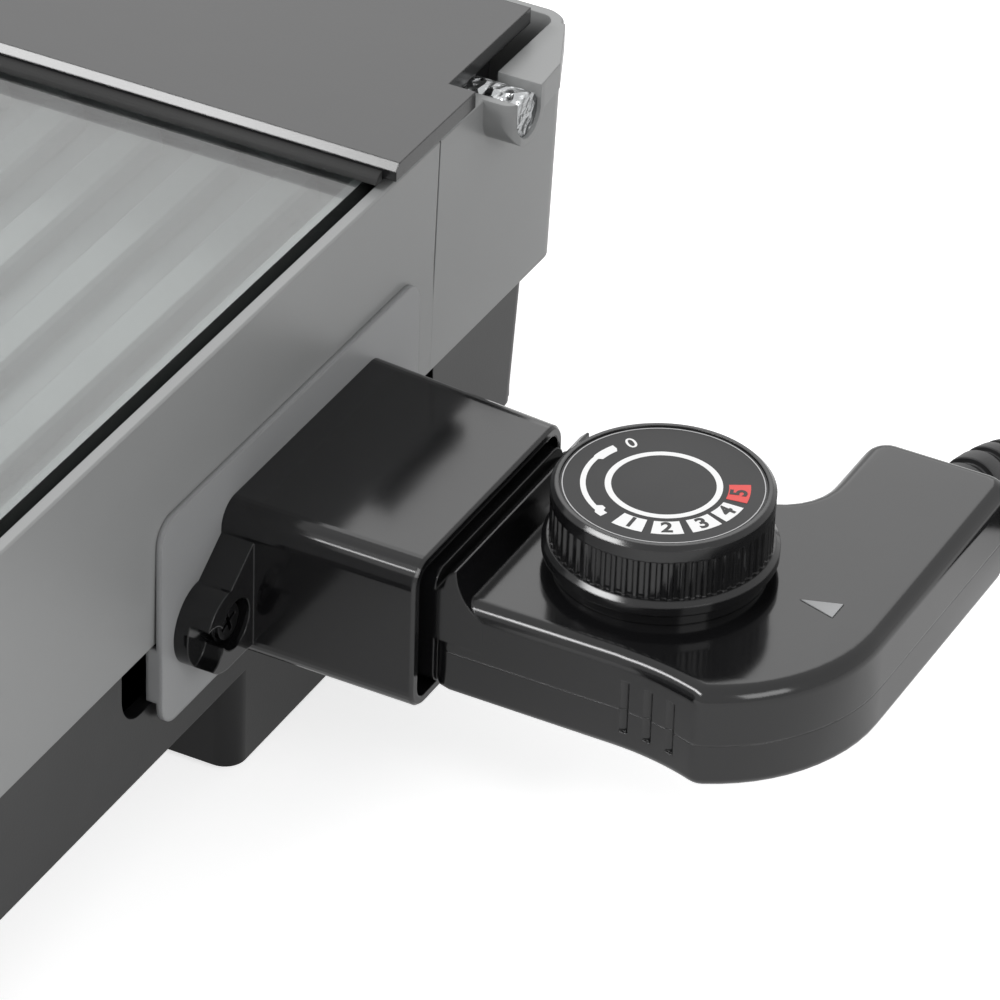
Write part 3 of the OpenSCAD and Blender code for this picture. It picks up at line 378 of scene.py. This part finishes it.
for name in ("control_upper", "control_lower"):
    leave_edit_mode()
    source = frame["nodes"][name]
    source.hide_set(False)
    source.select_set(True)
    bpy.context.view_layer.objects.active = source
    bpy.ops.object.duplicate()
    skin = bpy.context.object
    skin.name = skin.data.name = name + "_skin"
    bpy.ops.object.parent_clear(type="CLEAR_KEEP_TRANSFORM")
    bpy.ops.object.transform_apply(location=True, rotation=True, scale=True)
    bpy.ops.mesh.customdata_custom_splitnormals_clear()
    bpy.ops.object.mode_set(mode="EDIT")
    bpy.ops.mesh.select_all(action="SELECT")
    bpy.ops.mesh.remove_doubles(threshold=COPY_MERGE * MM)
    finish(skin, "control", finishes["gloss_black"], smooth=COPY_SMOOTH, replaces=[name])
    weights = skin.modifiers.new("flat_faces_lead", "WEIGHTED_NORMAL")
    weights.keep_sharp = True
    bpy.context.view_layer.objects.active = skin
    bpy.ops.object.modifier_apply(modifier="flat_faces_lead")

# %% [markdown]
# ## Strain relief
# Where the lead leaves the grip it passes through a soft tapered sleeve, moulded with broad rings and deep
# grooves so that it bends gently. It could be an array of rings on a curve, but extruding one disc ring by
# ring, as it would be turned on a lathe, keeps it one closed skin that tapers and droops with the lead.

# %% Ribbed strain relief
RELIEF_START, RELIEF_REACH, RELIEF_DROP = Vector((CORD_X, 104.5, 50.5)), 29.5, 6.5
ROOT_R, TIP_R = 6.5, 4.4
GROOVE = 0.74
# Each groove and the ring after it, as shares of the sleeve's length
RINGS = ((0.04, 0.19), (0.1, 0.18), (0.1, 0.17), (0.09, 0.13))


def relief_point(share):
    """A point of the sleeve's bent axis, in millimetres, from its root at 0 to its tip at 1."""
    return RELIEF_START + Vector((0, RELIEF_REACH * share, -RELIEF_DROP * share * share))


cord_relief = start(bpy.ops.mesh.primitive_circle_add, "cord_relief", vertices=40,
                    radius=ROOT_R * GROOVE * MM, fill_type="NGON", location=relief_point(0) * MM,
                    rotation=(math.pi / 2, 0, 0))
bpy.ops.mesh.select_all(action="SELECT")
share = 0
for gap, ring in RINGS:
    for step, factor in ((gap, 1), (0, 1 / GROOVE), (ring, 1), (0, GROOVE)):
        taper = 1 - (ROOT_R - TIP_R) / ROOT_R * step
        grow(relief_point(share + step) - relief_point(share), factor * taper, relief_point(share + step))
        share += step
finish(cord_relief, "control", finishes["cord_rubber"], smooth=35, bevel=0.45,
       replaces=["strain_relief"])

# %% [markdown]
# ## Print on the dial
# The scale is silk-screened on the dial's film: a white ring, a tapering sweep mark, four white boxes and a
# red one with bold figures, and a pale nought. An image would be the usual way, but flat shapes a few
# hundredths of a millimetre thick stay sharp at any distance. Each starts as a ring, of which a part is kept.

# %% Rings and boxes of the dial
DIAL = Vector((237.35, 45, 0))
LABEL_TOP, LIFT, INK = 78.7, 0.005, 0.05
FULL_TURN = 360
INK_TONES = {"white_ink": "#e9e9e9", "red_ink": "#d8433f", "black_ink": "#131313", "grey_ink": "#b9b9ba"}

print_inks = {}
for name, hex_code in INK_TONES.items():
    surface("label_" + name, "screen_printed_" + name, (hex_code, hex_code), (0.4, 0.5), 0.3, 0.004,
            edge=0.05)
    print_inks[name] = finishes.pop("label_" + name)


def angle_of(place):
    """The angle of a place round the dial's axis, in degrees, anticlockwise from the right."""
    return math.degrees(math.atan2(place.y - DIAL.y, place.x - DIAL.x)) % FULL_TURN


def radius_of(place):
    """How far a place lies from the dial's axis, in millimetres."""
    return math.hypot(place.x - DIAL.x, place.y - DIAL.y)


def ring_part(name, inner, outer, from_angle=-180, to_angle=180, segments=180):
    """A flat ring round the dial's axis, of which only the part between two angles is kept."""
    piece = start(bpy.ops.mesh.primitive_circle_add, name, vertices=segments, radius=outer * MM,
                  fill_type="NGON", location=(DIAL + Vector((0, 0, LABEL_TOP + LIFT))) * MM)
    pick("faces", lambda face: True)
    bpy.ops.mesh.inset(thickness=(outer - inner) * MM)
    bpy.ops.mesh.delete(type="FACE")
    centre, half = (from_angle + to_angle) / 2, (to_angle - from_angle) / 2
    pick("faces", lambda face: abs((angle_of(middle(face)) - centre + 180) % FULL_TURN - 180) > half)
    bpy.ops.mesh.delete(type="FACE")
    return piece


def print_it(piece, ink):
    """Gives a flat shape its thickness and hands it to the dial."""
    bpy.ops.mesh.select_all(action="SELECT")
    grow((0, 0, INK))
    return finish(piece, "dial", print_inks[ink])


print_it(ring_part("dial_ring", 9.75, 10.95), "white_ink")
print_it(ring_part("dial_border", 18.7, 18.9), "grey_ink")

HUB = (DIAL + Vector((0, 0, LABEL_TOP))) * MM
SWEEP_IN, SWEEP_OUT, SWEEP_MID = 14.45, 15.5, 15
sweep = ring_part("dial_sweep", SWEEP_IN, SWEEP_OUT, 154, 250)
# Its start is a wide block and its end an arrow head: from and to which angle, inner edge or not, new radius
SWEEP_SHAPE = ((154, 173, True, 13.7), (154, 173, False, 15.7),
               (239, 245, True, 13.5), (245, 251, True, 14.3), (243, 251, False, 15.95))
for low, high, inner, radius in SWEEP_SHAPE:
    pick("verts", lambda v: (radius_of(middle(v)) < SWEEP_MID) == inner and low < angle_of(middle(v)) < high)
    bpy.ops.transform.resize(value=(radius / (SWEEP_IN if inner else SWEEP_OUT),) * 3, center_override=HUB)
print_it(sweep, "white_ink")

# %% Boxes and figures
FIGURES = (("1", 271.2, "white_ink"), ("2", 298.8, "white_ink"), ("3", 326.8, "white_ink"),
           ("4", 352.5, "white_ink"), ("5", 19.2, "red_ink"), ("0", 140.9, None))
BOX_INNER, BOX_OUTER, BOX_HALF, NOUGHT_R = 12.05, 16.1, 10.4, 15
FIGURE_SIZE, FIGURE_DEPTH, BOLD, PLAIN = 4.4, 0.02, 0.14, 0.02
ON_BOX, ON_FILM = 0.08, 0.03

for figure, angle, box_ink in FIGURES:
    if box_ink:
        print_it(ring_part("dial_box_" + figure, BOX_INNER, BOX_OUTER, angle - BOX_HALF, angle + BOX_HALF),
                 box_ink)
    leave_edit_mode()
    turn = math.radians(angle)
    reach = (BOX_INNER + BOX_OUTER) / 2 if box_ink else NOUGHT_R
    height = LABEL_TOP + (ON_BOX if box_ink else ON_FILM)
    spot = DIAL + Vector((reach * math.cos(turn), reach * math.sin(turn), height))
    bpy.ops.object.text_add(location=spot * MM, rotation=(0, 0, turn + math.pi / 2))
    digit = bpy.context.object
    digit.data.body = figure
    digit.data.align_x, digit.data.align_y = "CENTER", "CENTER"
    digit.data.size = FIGURE_SIZE * MM
    digit.data.offset = (BOLD if box_ink else PLAIN) * MM
    digit.data.extrude = FIGURE_DEPTH * MM
    digit.data.resolution_u = 5
    bpy.ops.object.convert(target="MESH")
    digit.name = digit.data.name = "dial_figure_" + figure
    bpy.ops.object.transform_apply(location=True, rotation=True, scale=True)
    bpy.ops.object.mode_set(mode="EDIT")
    finish(digit, "dial", print_inks["black_ink" if box_ink else "white_ink"])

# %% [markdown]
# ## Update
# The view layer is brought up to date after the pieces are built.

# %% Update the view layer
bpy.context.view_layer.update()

# %% [markdown]
# ## Stage
# The photograph has a pure white ground and next to no shadow. The floor is pale, and a little light of its
# own, which the camera sees in full and reflections see in part, lifts it to white without lighting the
# object. The world does the same for all that lies past the floor.

# %% Floor and world
def seen_by(tree, rays, reflections):
    """How far a ray sees the ground as white: in full from the camera or through glass, less in a mirror."""
    camera = put(tree, "Math", {0: rays["Is Camera Ray"], 1: reflections}, operation="ADD")
    return put(tree, "Math", {0: camera.outputs[0], 1: rays["Is Transmission Ray"]}, operation="ADD",
               use_clamp=True).outputs[0]


FLOOR_SIZE, FLOOR_DROP = 12, 0.02
FLOOR_LIFT, LIFT_IN_REFLECTIONS = 0.7, 0.5
SKY_LIGHT, SKY_SEEN = 0.55, 1.0

leave_edit_mode()
bpy.ops.mesh.primitive_plane_add(size=FLOOR_SIZE, location=(0, 0, -FLOOR_DROP * MM))
floor = bpy.context.object
floor.name = "floor"
paper = bpy.data.materials.new("white_paper_sweep")
paper.use_nodes = True
tree = paper.node_tree
base = tree.nodes["Principled BSDF"]
base.inputs["Base Color"].default_value = (0.8, 0.8, 0.8, 1)
base.inputs["Roughness"].default_value = 0.9
base.inputs["Specular IOR Level"].default_value = 0.0
rays = put(tree, "LightPath").outputs
half = put(tree, "Math", {0: rays["Is Glossy Ray"], 1: LIFT_IN_REFLECTIONS}, operation="MULTIPLY")
base.inputs["Emission Color"].default_value = (1, 1, 1, 1)
lift = put(tree, "Math", {0: seen_by(tree, rays, half.outputs[0]), 1: FLOOR_LIFT}, operation="MULTIPLY")
tree.links.new(lift.outputs[0], base.inputs["Emission Strength"])
floor.data.materials.append(paper)

world = bpy.data.worlds.new("studio")
bpy.context.scene.world = world
world.use_nodes = True
tree = world.node_tree
sky = tree.nodes["Background"]
sky.inputs["Color"].default_value = (1, 1, 1, 1)
rays = put(tree, "LightPath").outputs
level = put(tree, "MapRange", {"Value": seen_by(tree, rays, rays["Is Glossy Ray"]),
                               "To Min": SKY_LIGHT, "To Max": SKY_SEEN})
tree.links.new(level.outputs["Result"], sky.inputs["Strength"])
print("floor and world lit")


# %% [markdown]
# ## Lamps
# A large soft box behind the object lies as a pale reflection on everything that faces up, a narrow bright
# one at the front left draws the light bands on the near edges, and a small one at the right fills the
# nose of the control. Round lamps would give round highlights, which the photograph doesn't have.

# %% Lamps
LAMP_AIM = (0.12, 0.05, 0.06)


def soft_box(name, place, size, power):
    """A square lamp of soft light at a place, turned towards the control, in metres and watts."""
    data = bpy.data.lights.new(name, "AREA")
    data.shape, data.energy = "RECTANGLE", power
    data.size, data.size_y = size
    lamp = bpy.data.objects.new(name, data)
    lamp.location = place
    lamp.rotation_mode = "QUATERNION"
    lamp.rotation_quaternion = (Vector(LAMP_AIM) - Vector(place)).to_track_quat("-Z", "Y")
    bpy.context.scene.collection.objects.link(lamp)


soft_box("back_box", (-0.45, 1.2, 0.95), (1.1, 0.8), 3.4)
soft_box("front_strip", (-0.36, -0.68, 1.02), (0.9, 0.22), 11.0)
soft_box("side_box", (1.3, -0.5, 0.8), (0.6, 0.6), 5.0)
bpy.context.scene.view_settings.view_transform = "Standard"
